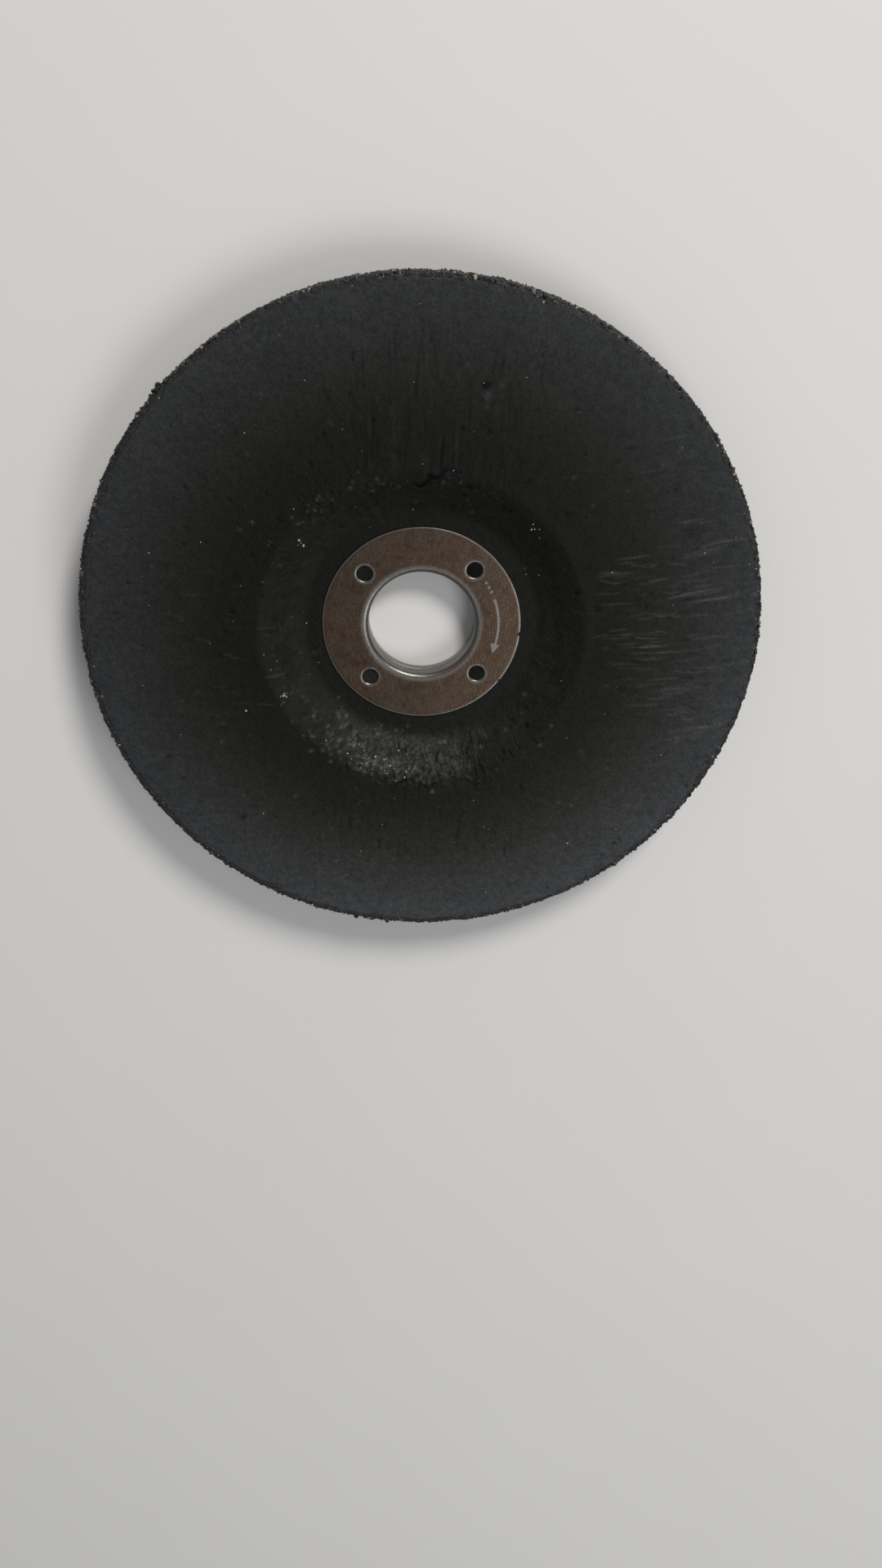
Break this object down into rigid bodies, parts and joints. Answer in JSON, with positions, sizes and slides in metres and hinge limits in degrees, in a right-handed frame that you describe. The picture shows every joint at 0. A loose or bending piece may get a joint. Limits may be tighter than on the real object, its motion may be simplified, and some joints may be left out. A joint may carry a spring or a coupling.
{
  "type": "depressed-centre grinding wheel",
  "caption": "Resin-bonded, glass-reinforced depressed-centre grinding wheel with a flanged steel arbor bush, for an angle grinder.",
  "frame": {"origin": "on the bore's axis, in the plane of the rear seating face", "axes": "+Z along the bore, from the raised hub towards the recessed grinding face"},
  "size_m": [0.1, 0.1, 0.0087],
  "materials": {
    "steel": "tinned steel with a brownish lacquer",
    "rear_steel": "bare pressed steel",
    "facing": "black glued facing, slightly wrinkled",
    "compound": "coarse resin-bonded abrasive grain",
    "glass_yarn": "resin-coated glass yarn",
    "label": "coated paper"
  },
  "bodies": {
    "root": {"front_ring": "steel", "rear_ring": "rear_steel", "facing": "facing", "grinding_layer": "compound", "middle_mesh_upper_warp": "glass_yarn", "middle_mesh_weft": "glass_yarn", "middle_mesh_lower_warp": "glass_yarn", "rear_layer": "compound", "rear_mesh_upper_warp": "glass_yarn", "rear_mesh_weft": "glass_yarn", "rear_mesh_lower_warp": "glass_yarn", "label": "label"}
  },
  "joints": []
}
